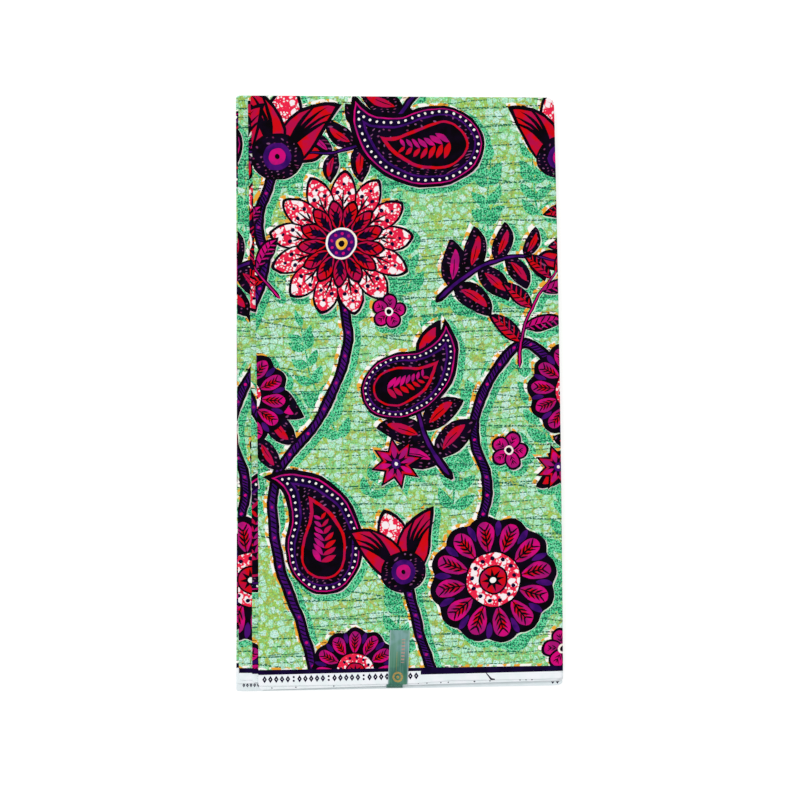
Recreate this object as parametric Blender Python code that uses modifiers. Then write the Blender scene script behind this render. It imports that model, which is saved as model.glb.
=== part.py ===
"""A folded packet of wax-print cotton, lying flat as a shop stacks it.

One cloth is doubled lengthways on its centre fold, so that both selvedges lie at one end, and is then
lapped back and forth. +X runs along the selvedges, +Y from the selvedges to the centre fold, and +Z up
from the surface that the packet lies on. Each stretch of the cloth that shows is a wall of its own. The
laps that don't show share one solid, layered at its edges. A label is stuck over the selvedges.
"""

import math
from collections import namedtuple

import bmesh
import bpy

# Driving sizes, in metres.
MM = 0.001
PACKET_WIDTH = 331 * MM
PACKET_LENGTH = 600 * MM
WALL = 1.05 * MM
GAP = 0.3 * MM
PITCH = WALL + GAP
EDGE_ROUNDING = 0.42 * MM

# The last lap's cloth rolls down over the layer under it, at its head and at its right.
ROLL_RADIUS = 2.4 * MM
ROLL_LENGTH = ROLL_RADIUS * math.pi / 2

# Radii of the packet's corners, seen from above.
LEFT_RADIUS, RIGHT_RADIUS = 3.5 * MM, 8 * MM
HEAD_RADIUS, FOOT_RADIUS = 7 * MM, 3 * MM

# The hidden laps: each has a fold or an edge of its own all round.
HIDDEN_LAPS = 11
HIDDEN_PITCH = 0.8 * MM
SINGLE_FOLD = 0.45 * MM
PAIRED_FOLD = 0.85 * MM
LAP_WANDER = 0.5 * MM

# The packet stands a little higher in its middle than at its edges, and not quite evenly.
CROWN = 0.045
UNEVEN = 0.014
UNEVEN_ACROSS, UNEVEN_ALONG = 240 * MM, 330 * MM

LABEL_WIDTH = 20 * MM
LABEL_WALL = 0.5 * MM
LABEL_HEAD = -239 * MM
LABEL_END = -297.2 * MM
LABEL_SLANT = 0.042
LABEL_BEND, LABEL_FOOT_BEND = 3 * MM, 1.2 * MM
LABEL_CLEAR_OF_EDGE = 0.8 * MM

HALF_WIDTH, HALF_LENGTH = PACKET_WIDTH / 2, PACKET_LENGTH / 2

# The edges of each stretch in millimetres, bottom of the packet first. A side has its place at the head,
# halfway and at the foot, and the foot has its place at the left and at the right.
Stretch = namedtuple(
    "Stretch",
    "name left_head left_middle left_foot right_head right_middle right_foot head foot_left foot_right",
)
STRETCHES = (
    Stretch("bottom_panel", -164.2, -164.6, -163.9, 155.4, 160.4, 164.2, 298.9, -298.4, -294.6),
    Stretch("foot_lap", -163.4, -164.3, -163.4, 155.2, 160.6, 164.6, 299.3, -300.0, -295.3),
    Stretch("outer_lap", -165.5, -165.5, -165.5, 155.5, 161.0, 165.5, 300.0, -292.8, -291.6),
    Stretch("third_lap", -163.6, -165.1, -162.9, 155.1, 160.5, 164.9, 299.6, -290.2, -290.9),
    Stretch("second_lap", -154.3, -151.0, -149.7, 155.3, 160.9, 165.1, 299.1, -292.4, -290.2),
    Stretch("top_lap_under_layer", -149.9, -143.6, -142.2, 154.2, 159.4, 162.8, 297.5, -296.0, -290.8),
    Stretch("top_panel", -151.4, -144.8, -143.4, 155.9, 161.1, 164.5, 299.3, -293.4, -288.6),
)
HIDDEN = Stretch("inner_laps", -163.6, -164.0, -163.5, 155.0, 160.0, 163.4, 298.4, -297.2, -293.6)

# Shares of a corner's radius at which the grid lines of a stretch lie, from its edge inwards.
PLAIN_STEPS = (0.0, 0.34, 1.0)
ROLLED_STEPS = (0.0, 0.16, 0.32, 0.5, 1.0)
CELLS_ACROSS, CELLS_ALONG = 4, 7

# Colour, roughness of each stretch and of the label.
COTTON_GREEN = (0.36, 0.72, 0.42)
COTTON_DARK = (0.06, 0.02, 0.10)
COTTON_RED = (0.62, 0.02, 0.10)
SELVEDGE_WHITE = (0.80, 0.83, 0.86)
FOIL_TEAL = (0.10, 0.36, 0.33)
FINISHES = {
    "bottom_panel": (COTTON_GREEN, 0.75),
    "inner_laps": (COTTON_DARK, 0.75),
    "foot_lap": (SELVEDGE_WHITE, 0.75),
    "outer_lap": (COTTON_DARK, 0.72),
    "third_lap": (COTTON_RED, 0.72),
    "second_lap": (COTTON_DARK, 0.72),
    "top_lap_under_layer": (SELVEDGE_WHITE, 0.72),
    "top_panel": (COTTON_GREEN, 0.7),
    "label": (FOIL_TEAL, 0.35),
}


def lie(x, y):
    """The height of the stack at a place, as a share of its height at the edges."""
    inside = (1 - (x / HALF_WIDTH) ** 4) * (1 - (y / HALF_LENGTH) ** 4)
    wave = math.sin(2 * math.pi * x / UNEVEN_ACROSS + 0.7) * math.cos(2 * math.pi * y / UNEVEN_ALONG)
    return 1 + max(inside, 0) * (CROWN + UNEVEN * wave)


def bowed(head, middle, foot, y):
    """A side edge's x, in metres, at y: the parabola through its three places."""
    share = (HALF_LENGTH - y) / PACKET_LENGTH
    bow = middle - (head + foot) / 2
    return (head + (foot - head) * share + 4 * bow * share * (1 - share)) * MM


def foot_edge(stretch, x):
    """The foot edge's y, in metres, at x."""
    share = (x + HALF_WIDTH) / PACKET_WIDTH
    return (stretch.foot_left * (1 - share) + stretch.foot_right * share) * MM


def zone(line, last, steps):
    """Whether a grid line lies near the low end, between or near the high end, and its share there."""
    corner = len(steps) - 1
    if line < corner:
        return "low", steps[line]
    if line > last - corner:
        return "high", steps[last - line]
    return "between", (line - corner) / (last - 2 * corner)


def along(end, share, low, high, low_radius, high_radius):
    """The place of a grid line between two edges."""
    if end == "low":
        return low + share * low_radius
    if end == "high":
        return high - share * high_radius
    return (low + low_radius) * (1 - share) + (high - high_radius) * share


def rolled(share, radius):
    """Rolls the cloth down at its edge: the share it keeps from that edge, and how far it drops."""
    from_edge = share * radius
    if from_edge >= ROLL_LENGTH:
        return (from_edge - ROLL_LENGTH + ROLL_RADIUS) / radius, 0
    turn = (1 - from_edge / ROLL_LENGTH) * math.pi / 2
    return ROLL_RADIUS * (1 - math.sin(turn)) / radius, ROLL_RADIUS * (1 - math.cos(turn))


def settle(stretch, column, row, last_column, last_row, steps, rolls):
    """Where a grid point of a stretch lies: x, y and how far it drops under the stretch's top."""
    end_x, share_x = zone(column, last_column, steps)
    end_y, share_y = zone(row, last_row, steps)
    drop = 0
    corner = "between" not in (end_x, end_y)
    head_right = (end_x, end_y) == ("high", "high")
    if corner and (head_right or not rolls):
        # Squares round the corner's centre become arcs round it.
        across, up = 1 - share_x, 1 - share_y
        reach = max(across, up)
        turn = math.pi / 4 * (up / across if across >= up else 2 - across / up) if reach else 0
        if rolls:
            share, drop = rolled(1 - reach, min(RIGHT_RADIUS, HEAD_RADIUS))
            reach = 1 - share
        share_x, share_y = 1 - reach * math.cos(turn), 1 - reach * math.sin(turn)
    elif rolls:
        if end_x == "high":
            share_x, drop = rolled(share_x, RIGHT_RADIUS)
        if end_y == "high":
            share_y, drop = rolled(share_y, HEAD_RADIUS)

    low_y, high_y = foot_edge(stretch, 0), stretch.head * MM
    y = along(end_y, share_y, low_y, high_y, FOOT_RADIUS, HEAD_RADIUS)
    left = bowed(stretch.left_head, stretch.left_middle, stretch.left_foot, y)
    right = bowed(stretch.right_head, stretch.right_middle, stretch.right_foot, y)
    x = along(end_x, share_x, left, right, LEFT_RADIUS, RIGHT_RADIUS)
    y = along(end_y, share_y, foot_edge(stretch, x), high_y, FOOT_RADIUS, HEAD_RADIUS)
    return x, y, drop


def finished(name, mesh, parts):
    """Makes a mesh the part's object of that name, with its own material."""
    colour, roughness = FINISHES[name]
    material = bpy.data.materials.new(name)
    material.use_nodes = True
    surface = material.node_tree.nodes["Principled BSDF"]
    surface.inputs["Base Color"].default_value = (*colour, 1)
    surface.inputs["Roughness"].default_value = roughness
    surface.inputs["Metallic"].default_value = 0.0
    mesh.materials.append(material)
    mesh.shade_smooth()
    mesh.set_sharp_from_angle(angle=math.radians(40))
    piece = bpy.data.objects.new(name, mesh)
    parts.objects.link(piece)
    return piece


def give_wall(piece, thickness, rounding=0):
    """Gives an open sheet its wall, downwards, and rounds the wall's edges as folds."""
    wall = piece.modifiers.new("wall", "SOLIDIFY")
    wall.thickness = thickness
    wall.offset = -1
    wall.use_even_offset = True
    if not rounding:
        return
    soft = piece.modifiers.new("soft_edges", "BEVEL")
    soft.width = rounding
    soft.segments = 2
    soft.limit_method = "ANGLE"
    soft.angle_limit = math.radians(50)


def cloth_stretch(stretch, height_at, parts, rolls=False):
    """One stretch of the cloth: a grid on the stretch's own outline, at the height given for a place."""
    steps = ROLLED_STEPS if rolls else PLAIN_STEPS
    columns = CELLS_ACROSS + 2 * (len(steps) - 1)
    rows = CELLS_ALONG + 2 * (len(steps) - 1)
    sheet = bmesh.new()
    bmesh.ops.create_grid(sheet, x_segments=columns, y_segments=rows, size=1)
    for point in sheet.verts:
        column = round((point.co.x + 1) / 2 * columns)
        row = round((point.co.y + 1) / 2 * rows)
        x, y, drop = settle(stretch, column, row, columns, rows, steps, rolls)
        point.co = (x, y, height_at(x, y) - drop)
    mesh = bpy.data.meshes.new(stretch.name)
    sheet.to_mesh(mesh)
    sheet.free()
    give_wall(finished(stretch.name, mesh, parts), WALL, EDGE_ROUNDING)


def fold_inset(height, first, laps, depth):
    """How far a stack of round folds draws in at a height: each fold holds that many laps."""
    place = (height - first) / laps
    swing = 2 * (place - math.floor(place)) - 1
    return depth * (1 - math.sqrt(max(0, 1 - swing * swing)))


def wander(lap, side):
    """How far one lap's edge lies from its neighbours', the same on each run."""
    return LAP_WANDER * math.sin(2.4 * lap + 1.7 * side)


def hidden_section(height, lap):
    """The hidden laps' outline at a height given in laps. Folds pair the laps at the left and, one lap
    on, at the right. Each lap has its own centre fold at the head and its own edge at the foot."""
    left = (fold_inset(height, 0, 2, PAIRED_FOLD) + wander(lap // 2, 0)) / MM
    right = (fold_inset(height, 1, 2, PAIRED_FOLD) + wander((lap + 1) // 2, 1)) / MM
    head = (fold_inset(height, 0, 1, SINGLE_FOLD) + wander(lap, 2)) / MM
    foot = (fold_inset(height, 0, 1, SINGLE_FOLD) + wander(lap, 3)) / MM
    return HIDDEN._replace(
        left_head=HIDDEN.left_head + left,
        left_middle=HIDDEN.left_middle + left,
        left_foot=HIDDEN.left_foot + left,
        right_head=HIDDEN.right_head - right,
        right_middle=HIDDEN.right_middle - right,
        right_foot=HIDDEN.right_foot - right,
        head=HIDDEN.head - head,
        foot_left=HIDDEN.foot_left + foot,
        foot_right=HIDDEN.foot_right + foot,
    )


def rim_lines(columns, rows):
    """The grid points along a sheet's rim, anticlockwise from its foot's left."""
    foot = [(column, 0) for column in range(columns)]
    right = [(columns, row) for row in range(rows)]
    head = [(column, rows) for column in range(columns, 0, -1)]
    left = [(0, row) for row in range(rows, 0, -1)]
    return foot + right + head + left


def inner_laps(base, parts):
    """The hidden laps: a loft between their unlike sections, four to a lap."""
    columns = rows = 3 + 2 * (len(PLAIN_STEPS) - 1)
    rim = rim_lines(columns, rows)
    loft = bmesh.new()
    rings = []
    for lap in range(HIDDEN_LAPS):
        for part_way in (0.04, 0.3, 0.7, 0.96):
            height = lap + part_way
            section = hidden_section(height, lap)
            ring = []
            for column, row in rim:
                x, y, _ = settle(section, column, row, columns, rows, PLAIN_STEPS, False)
                ring.append(loft.verts.new((x, y, base + height * HIDDEN_PITCH)))
            rings.append(ring)
    for lower, upper in zip(rings, rings[1:]):
        for i in range(len(rim)):
            j = (i + 1) % len(rim)
            loft.faces.new((lower[i], lower[j], upper[j], upper[i]))
    loft.faces.new(rings[0][::-1])
    loft.faces.new(rings[-1])
    mesh = bpy.data.meshes.new(HIDDEN.name)
    loft.to_mesh(mesh)
    loft.free()
    finished(HIDDEN.name, mesh, parts)


def label_path(panel_top, rest_top):
    """The label's outer face from its head, over the selvedges, to its end: (y, height) pairs."""
    panel_edge = foot_edge(STRETCHES[-2], 0)
    lift = GAP + LABEL_WALL
    bend_y = panel_edge - LABEL_CLEAR_OF_EDGE + LABEL_BEND
    path = [(LABEL_HEAD, panel_top + lift), ((LABEL_HEAD + bend_y) / 2, panel_top + lift)]
    for turn in (0, 30, 60, 90):
        turn = math.radians(turn)
        path.append(
            (bend_y - LABEL_BEND * math.sin(turn), panel_top + lift - LABEL_BEND * (1 - math.cos(turn)))
        )
    drop_y, rest = path[-1][0], rest_top + lift
    for turn in (90, 60, 30, 0):
        turn = math.radians(turn)
        path.append(
            (
                drop_y - LABEL_FOOT_BEND * (1 - math.sin(turn)),
                rest + LABEL_FOOT_BEND * (1 - math.cos(turn)),
            )
        )
    path.append((LABEL_END, rest))
    return path


def label(panel_top, rest_top, parts):
    """The foil label, folded over the selvedges onto the lap that reaches furthest."""
    path = label_path(panel_top, rest_top)
    strip = bmesh.new()
    bmesh.ops.create_grid(strip, x_segments=3, y_segments=len(path) - 1, size=1)
    for point in strip.verts:
        y, height = path[round((1 - point.co.y) / 2 * (len(path) - 1))]
        x = point.co.x * LABEL_WIDTH / 2 + (y - LABEL_HEAD) * LABEL_SLANT
        point.co = (x, y, height * lie(x, y))
    mesh = bpy.data.meshes.new("label")
    strip.to_mesh(mesh)
    strip.free()
    give_wall(finished("label", mesh, parts), LABEL_WALL)


def main():
    for leftover in list(bpy.data.objects):
        bpy.data.objects.remove(leftover)
    parts = bpy.data.collections.new("folded_wax_print")
    bpy.context.scene.collection.children.link(parts)

    # The packet rests on its bottom panel, which is flat. The stretches above the hidden laps follow
    # the lie of the stack.
    bottom, *shown = STRETCHES
    cloth_stretch(bottom, lambda x, y: WALL, parts)
    inner_laps(PITCH, parts)
    first_top = PITCH + HIDDEN_LAPS * HIDDEN_PITCH + PITCH
    for place, stretch in enumerate(shown):
        top = first_top + place * PITCH
        cloth_stretch(
            stretch, lambda x, y, top=top: top * lie(x, y), parts, rolls=stretch.name == "top_panel"
        )
    label(top, first_top, parts)


main()
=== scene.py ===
# %% [markdown]
# # A folded piece of wax print
#
# Wax print is a light cotton, about 1.20 m wide, whose design goes through to both faces. A shop doubles
# a piece lengthways, selvedge to selvedge, laps it back and forth and presses it flat. What shows is the
# last lap, the stepped edges of a few others at its left, and white selvedges at its foot.
#
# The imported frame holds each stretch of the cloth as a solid. Each one gets a thin, closed shell of
# cloth here, on the same form, with the print cut into its faces. A foil label lies over the selvedges.

# %% Load the frame
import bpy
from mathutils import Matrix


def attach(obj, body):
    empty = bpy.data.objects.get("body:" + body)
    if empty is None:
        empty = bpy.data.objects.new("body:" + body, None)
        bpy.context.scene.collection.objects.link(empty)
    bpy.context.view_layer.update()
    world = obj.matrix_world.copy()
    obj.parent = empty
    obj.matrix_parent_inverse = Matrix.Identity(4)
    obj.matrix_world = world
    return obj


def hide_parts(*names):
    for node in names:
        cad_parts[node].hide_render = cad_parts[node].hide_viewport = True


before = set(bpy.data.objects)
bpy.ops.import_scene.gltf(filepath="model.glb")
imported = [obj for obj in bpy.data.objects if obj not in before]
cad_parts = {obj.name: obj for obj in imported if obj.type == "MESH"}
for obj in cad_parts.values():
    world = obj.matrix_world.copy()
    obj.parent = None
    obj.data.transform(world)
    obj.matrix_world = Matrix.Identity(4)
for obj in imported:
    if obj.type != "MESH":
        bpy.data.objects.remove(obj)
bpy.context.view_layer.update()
print("nodes:", sorted(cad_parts))

# %% What the script works with
import math
import random
from collections import namedtuple

import bpy
import numpy as np
from mathutils import Vector
from mathutils.geometry import delaunay_2d_cdt

MM = 0.001
bpy.ops.object.select_all(action="DESELECT")

# %% [markdown]
# ## The form of the packet
#
# All sizes from here on are in millimetres. +X runs along the selvedges and +Y from the selvedges to the
# centre fold. A stretch of cloth is known by the places of its four edges. The sides are slightly
# bowed, as cloth is when it is folded by hand, so each has a place at the head, halfway and at the foot.

# %% The edges of each stretch of cloth
HALF_WIDTH, HALF_LENGTH = 165.5, 300.0

# selvedge is how wide the white edge is and border how wide the dark band past it is, at its left and at
# its right. start is the cloth's own place at the packet's left edge, and way is -1 where a lap runs back.
# top is the height of its printed face over the floor, before the crown is added.
Stretch = namedtuple("Stretch", "node top left right head foot selvedge border start way")
STRETCHES = (
    Stretch("bottom_panel", 0.0, (-164.2, -164.6, -165.2), (155.4, 161.2, 164.6), 298.9,
            (-298.4, -294.6), 9.0, (5.2, 5.2), 140, -1),
    Stretch("foot_lap", 11.5, (-163.4, -164.6, -166.3), (155.2, 161.4, 164.8), 299.3,
            (-302.0, -295.8), 14.8, (5.2, 5.2), 60, 1),
    Stretch("outer_lap", 12.85, (-166.6, -165.6, -166.1), (155.5, 161.8, 165.6), 299.8,
            (-293.9, -291.6), 16.0, (4.8, 4.8), 205, -1),
    Stretch("third_lap", 14.2, (-163.6, -165.1, -162.9), (155.1, 161.3, 165.1), 299.6,
            (-290.2, -290.9), 7.3, (5.0, 5.0), 231, 1),
    Stretch("second_lap", 15.55, (-154.3, -151.0, -149.7), (155.3, 161.7, 165.2), 299.1,
            (-292.4, -290.2), 8.6, (5.2, 5.2), 92, -1),
    Stretch("top_lap_under_layer", 16.9, (-149.9, -143.6, -142.2), (153.8, 159.8, 162.2), 297.1,
            (-300.6, -289.8), 13.0, (5.2, 5.2), 300, 1),
    Stretch("top_panel", 18.25, (-151.4, -144.8, -143.4), (155.9, 162.1, 165.2), 299.3,
            (-296.5, -288.0), 7.7, (9.0, 5.5), -14, 1),
)
BY_NODE = {stretch.node: stretch for stretch in STRETCHES}
TOP = BY_NODE["top_panel"]
print(len(STRETCHES), "stretches show, up to a height of", TOP.top, "mm")


# %% Where an edge lies
def bowed(places, y):
    """A side edge's x at y: the parabola through its places at the head, halfway and at the foot."""
    head, middle, foot = places
    share = (HALF_LENGTH - y) / (2 * HALF_LENGTH)
    return head + (foot - head) * share + 4 * (middle - (head + foot) / 2) * share * (1 - share)


def slanted(places, x):
    """What goes evenly from one value at the packet's left to another at its right."""
    left, right = places
    return left + (right - left) * (x + HALF_WIDTH) / (2 * HALF_WIDTH)


# The packet is a little longer at its left, and the last lap's selvedge slipped up beside the label.
LONGER_AT_HEAD = (3.0, 0.7)
SLIPPED_AT, SLIPPED = (-140, -60, 18, 52, 120), (0, -0.9, -1.1, 0.9, 0.1)


def head_edge(stretch, x):
    return stretch.head + slanted(LONGER_AT_HEAD, x)


def foot_edge(stretch, x):
    return slanted(stretch.foot, x) + (np.interp(x, SLIPPED_AT, SLIPPED) if stretch is TOP else 0)


# %% [markdown]
# ## How the cloth lies
#
# A pressed packet is a little fuller in its middle than at its edges. On top of that come a few creases
# from earlier folds and from handling, each of its own length, width and depth. They could be modelled
# as a displacement, but a sum of soft ridges and troughs in real sizes is easy to place one by one, and
# every lap can share it, so that no lap cuts through the next.

# %% The crown and the creases
CROWN, UNEVEN = 0.045, 0.014
WAVE_ACROSS, WAVE_UP = 240, 330
WANDER, WANDER_LENGTH = 5, 46

Crease = namedtuple("Crease", "x y turn length width depth")
CREASES = (
    Crease(-52, 96, 91, 330, 5.0, 0.30),
    Crease(58, -150, 88, 220, 4.0, -0.22),
    Crease(20, 62, 4, 250, 6.0, 0.26),
    Crease(-95, -128, -3, 120, 5.0, -0.20),
    Crease(104, 214, 37, 110, 7.0, 0.30),
    Crease(-98, 236, -31, 90, 6.0, -0.22),
    Crease(126, -222, -52, 90, 8.0, 0.32),
    Crease(-112, -236, 48, 80, 7.0, 0.28),
    Crease(18, -196, 8, 150, 9.0, 0.24),
)


def creases(x, y):
    """The ridges and troughs at a place, in millimetres at the top of the packet."""
    height = 0
    for crease in CREASES:
        turn = math.radians(crease.turn)
        along = (x - crease.x) * math.cos(turn) + (y - crease.y) * math.sin(turn)
        across = (y - crease.y) * math.cos(turn) - (x - crease.x) * math.sin(turn)
        across = across + WANDER * np.sin(along / WANDER_LENGTH + crease.x)
        fade = np.exp(-((2 * along / crease.length) ** 4))
        height = height + crease.depth * fade * np.exp(-((across / crease.width) ** 2))
    return height


def lie(x, y):
    """The height of the stack at a place, as a share of its height at the edges."""
    inside = np.maximum((1 - (x / HALF_WIDTH) ** 4) * (1 - (y / HALF_LENGTH) ** 4), 0)
    wave = np.sin(2 * math.pi * x / WAVE_ACROSS + 0.7) * np.cos(2 * math.pi * y / WAVE_UP)
    return 1 + inside * (CROWN + UNEVEN * wave) + inside * creases(x, y) / TOP.top


print("the middle of the top is", round(TOP.top * float(lie(0, 0)), 2), "mm high")

# %% [markdown]
# The last lap's cloth rolls down over the layer under it at its head and at its right. The flat cloth
# reaches a little past the packet there, and what lies past the start of the roll is wound round it, so
# the print follows the fold. Its selvedge is slacker than the rest, and stands up in low ripples.

# %% Laying flat cloth on the stack
ROLL = 2.4
ROLL_REACH = ROLL * (math.pi / 2 - 1)
CORNER = 7.5
RIPPLE_HEIGHT, RIPPLE_REACH = 0.45, 16
SHORT_STEP = 0.02
print("the top cloth goes", round(ROLL_REACH, 2), "mm past its folds before it is wound round them")


def rolled(x, y):
    """Winds the top panel's cloth round its head and right folds: x, y and the drop."""
    past_x = np.maximum(x - bowed(TOP.right, y) + CORNER, 0)
    past_y = np.maximum(y - head_edge(TOP, x) + CORNER, 0)
    reach = np.maximum(np.hypot(past_x, past_y), 1e-6)
    turn = np.clip((reach - CORNER + ROLL) / ROLL, 0, math.pi / 2)
    kept = np.where(turn > 0, CORNER - ROLL + ROLL * np.sin(turn), reach) - reach
    return x + kept * past_x / reach, y + kept * past_y / reach, ROLL * (1 - np.cos(turn))


def ripples(stretch, x, y):
    """The low waves of a slack selvedge, which die away into the cloth."""
    if stretch is not TOP:
        return 0
    from_edge = np.maximum(y - foot_edge(stretch, x), 0)
    wave = 0.5 + 0.5 * np.sin(x / 9.5 + 1.1 * np.sin(x / 31) + from_edge / 40)
    return RIPPLE_HEIGHT * wave * np.exp(-from_edge / RIPPLE_REACH)


def laid(stretch, flat):
    """Where points of the flat cloth lie, in millimetres."""
    x, y = flat.T
    drop = 0
    if stretch is TOP:
        x, y, drop = rolled(x, y)
    return np.stack([x, y, stretch.top * lie(x, y) + ripples(stretch, x, y) - drop], 1)


def facing(stretch, flat):
    """The direction that faces out of the laid cloth at each point, found from two short steps."""
    here = laid(stretch, flat)
    across = laid(stretch, flat + (SHORT_STEP, 0)) - here
    up = laid(stretch, flat + (0, SHORT_STEP)) - here
    out = np.cross(across, up)
    return out / np.linalg.norm(out, axis=1)[:, None]


# %% [markdown]
# ## Shapes to print with
#
# The print is drawn as a block cutter would draw it: closed outlines, each with the dye that it takes,
# and a later outline covers an earlier one. A few kinds of outline are enough for all of the flowers,
# leaves, paisleys and stars. They are worked out from sizes, so each can be made larger, thinner or bent.

# %% Round outlines and stars
def disc(radius, x=0.0, y=0.0, points=24):
    turn = np.arange(points) * 2 * math.pi / points
    return np.stack([x + radius * np.cos(turn), y + radius * np.sin(turn)], 1)


def scalloped(radius, lobes, depth=0.1, points=9):
    """A disc with a rim of round lobes."""
    turn = np.arange(lobes * points) * 2 * math.pi / (lobes * points)
    reach = radius * (1 - depth * (1 - np.abs(np.cos(lobes * turn / 2))))
    return np.stack([reach * np.cos(turn), reach * np.sin(turn)], 1)


def star(reach, points, dip):
    turn = np.arange(2 * points) * math.pi / points
    out = np.where(np.arange(2 * points) % 2, reach * dip, reach)
    return np.stack([out * np.cos(turn), out * np.sin(turn)], 1)


# %% Blades and strokes
FINE_STEPS = 60


def spine(length, bend, reach):
    """Places and headings, at those distances, on a line that bends more and more."""
    fine = np.linspace(0, length, FINE_STEPS + 1)
    heading = math.radians(bend) * (fine / length) ** 1.5
    x, y = (np.cumsum(part(heading)) * length / FINE_STEPS for part in (np.cos, np.sin))
    place = np.stack([np.interp(reach, fine, x - length / FINE_STEPS), np.interp(reach, fine, y)], 1)
    return place, np.interp(reach, fine, heading)


def blade(length, width, root=0.9, tip=0.9, bend=0.0, inset=0.0, steps=12, sides=(-1, 1)):
    """A leaf, petal or paisley that grows along +X. root and tip say how blunt its ends are, from 0.5,
    round, to 1 and more, pointed. inset is how far it lies inside the blade of that length and width.
    sides are the shares of its half width that it fills, so (0, 1) is its left half."""
    along = (1 - np.cos(np.linspace(0, math.pi, steps + 1))) / 2
    widest = root / (root + tip)
    swell = along**root * (1 - along) ** tip / (widest**root * (1 - widest) ** tip)
    half = (width / 2 - inset) * swell
    reach = inset * (1.1 - 0.2 * (root < 0.6)) + along * (length - inset * (1.1 + 2.6 * tip))
    axis, turn = spine(length, bend, reach)
    side = np.stack([-np.sin(turn), np.cos(turn)], 1) * half[:, None]
    return np.concatenate([axis + side * sides[0], (axis + side * sides[1])[-2:0:-1]])


def curve(points, steps=7):
    """A smooth line through points, by Catmull and Rom's rule."""
    points = np.array(points, float)
    ends = 2 * points[[0, -1]] - points[[1, -2]]
    points = np.concatenate([ends[:1], points, ends[1:]])
    share = np.linspace(0, 1, steps, endpoint=False)[:, None]
    line = []
    for a, b, c, d in zip(points, points[1:], points[2:], points[3:]):
        line.append(
            b + share * (c - a) / 2
            + share**2 * (a - 2.5 * b + 2 * c - d / 2)
            + share**3 * (1.5 * (b - c) + (d - a) / 2)
        )
    return np.concatenate([*line, points[-2:-1]])


def stroke(line, width, end_width=None):
    """A line of that width, or one that narrows, as a closed outline with a pointed start."""
    line = np.array(line, float)
    heading = np.gradient(line, axis=0)
    heading /= np.maximum(np.linalg.norm(heading, axis=1), 1e-9)[:, None]
    half = np.linspace(width, end_width or width, len(line))[:, None] / 2
    half[0] *= 0.3
    side = heading[:, ::-1] * (-1, 1) * half
    return np.concatenate([line - side, (line + side)[::-1]])


# %% Turning and growing an outline
def turned(outline, degrees):
    turn = math.radians(degrees)
    return outline @ np.array([[math.cos(turn), math.sin(turn)], [-math.sin(turn), math.cos(turn)]])


def anticlockwise(outline):
    x, y = outline.T
    area = (x * np.roll(y, -1) - np.roll(x, -1) * y).sum()
    return outline if area > 0 else outline[::-1]


def outward(loop):
    """The direction out of a closed, anticlockwise loop at each of its points."""
    way = np.roll(loop, -1, 0) - np.roll(loop, 1, 0)
    out = way[:, ::-1] * (1, -1)
    return out / np.maximum(np.linalg.norm(out, axis=1), 1e-9)[:, None]


def grown(outline, reach):
    """An outline moved out by that much all round."""
    out = outward(outline)
    out = out + np.roll(out, 1, 0) + np.roll(out, -1, 0)
    return outline + out / 3 * reach


# %% [markdown]
# ## The motifs
#
# These are the ordinary flowers, leaves, paisleys and stars of printed cotton, drawn for this cloth.
# Each function draws one motif about its own origin, at a size that the layout then scales. A patch is
# an outline and its dye. A patch that is a body of a motif also gets a shadow and slivers later.

# %% Patches
Patch = namedtuple("Patch", "outline dye body", defaults=(False,))


def moved(patches, x=0.0, y=0.0, turn=0.0, size=1.0):
    """Patches made larger, turned and moved. A negative size also mirrors them."""
    scale = (abs(size), size)
    return [Patch(turned(p.outline * scale, turn) + (x, y), p.dye, p.body) for p in patches]


def ring(count, patches, first=0.0):
    """The same patches at each of so many turns."""
    return [patch for k in range(count) for patch in moved(patches, turn=first + 360 * k / count)]


def barbs(places, length, width, lean):
    """Pairs of short strokes that spread from the middle line of a petal or a leaf."""
    barb = blade(length, width, 0.7, 1.0, steps=5)
    return [Patch(turned(barb, lean * hand) + (x, 0), "ink") for x in places for hand in (-1, 1)]


def rimmed(dye, rim, *shape, x=0.0, body=True, **more):
    """A dark blade, and in it one of another dye that leaves a rim."""
    return [
        Patch(blade(*shape, **more) + (x, 0), "ink", body),
        Patch(blade(*shape, inset=rim, **more) + (x, 0), dye),
    ]


def discs(*rows, x=0.0):
    """Discs over each other. Each has its radius, its dye and, where it is small, its number of points."""
    return [Patch(disc(radius, x, 0.0, *points), dye) for radius, dye, *points in rows]


# %% Open flowers
def rosette():
    """A flower seen from the front, 100 mm across, on a dark scalloped ground."""
    petal = [
        Patch(blade(24, 13.6, 0.8, 0.5) + (21.5, 0), "magenta"),
        Patch(blade(17, 7, 0.8, 0.5) + (23, 0), "crimson"),
        Patch(stroke([(22, 0), (31, 0), (40, 0)], 2.0, 0.8), "ink"),
    ]
    petal += barbs((26, 30, 34, 38), 7.5, 1.5, 36)
    gap = [Patch(blade(13, 5, 0.9, 0.8) + (33, 0), "violet")]
    return (
        [Patch(scalloped(50, 12, 0.09), "ink", True)]
        + ring(12, petal)
        + ring(12, gap, 15)
        + discs((22.5, "ink"), (21, "pink"))
        + ring(13, discs((1.7, "navy", 9), x=16.6))
        + discs((11.5, "ink"), (10, "crimson"))
        + [Patch(star(9.2, 8, 0.42), "ink"), *discs((2.4, "white", 12))]
    )


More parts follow.
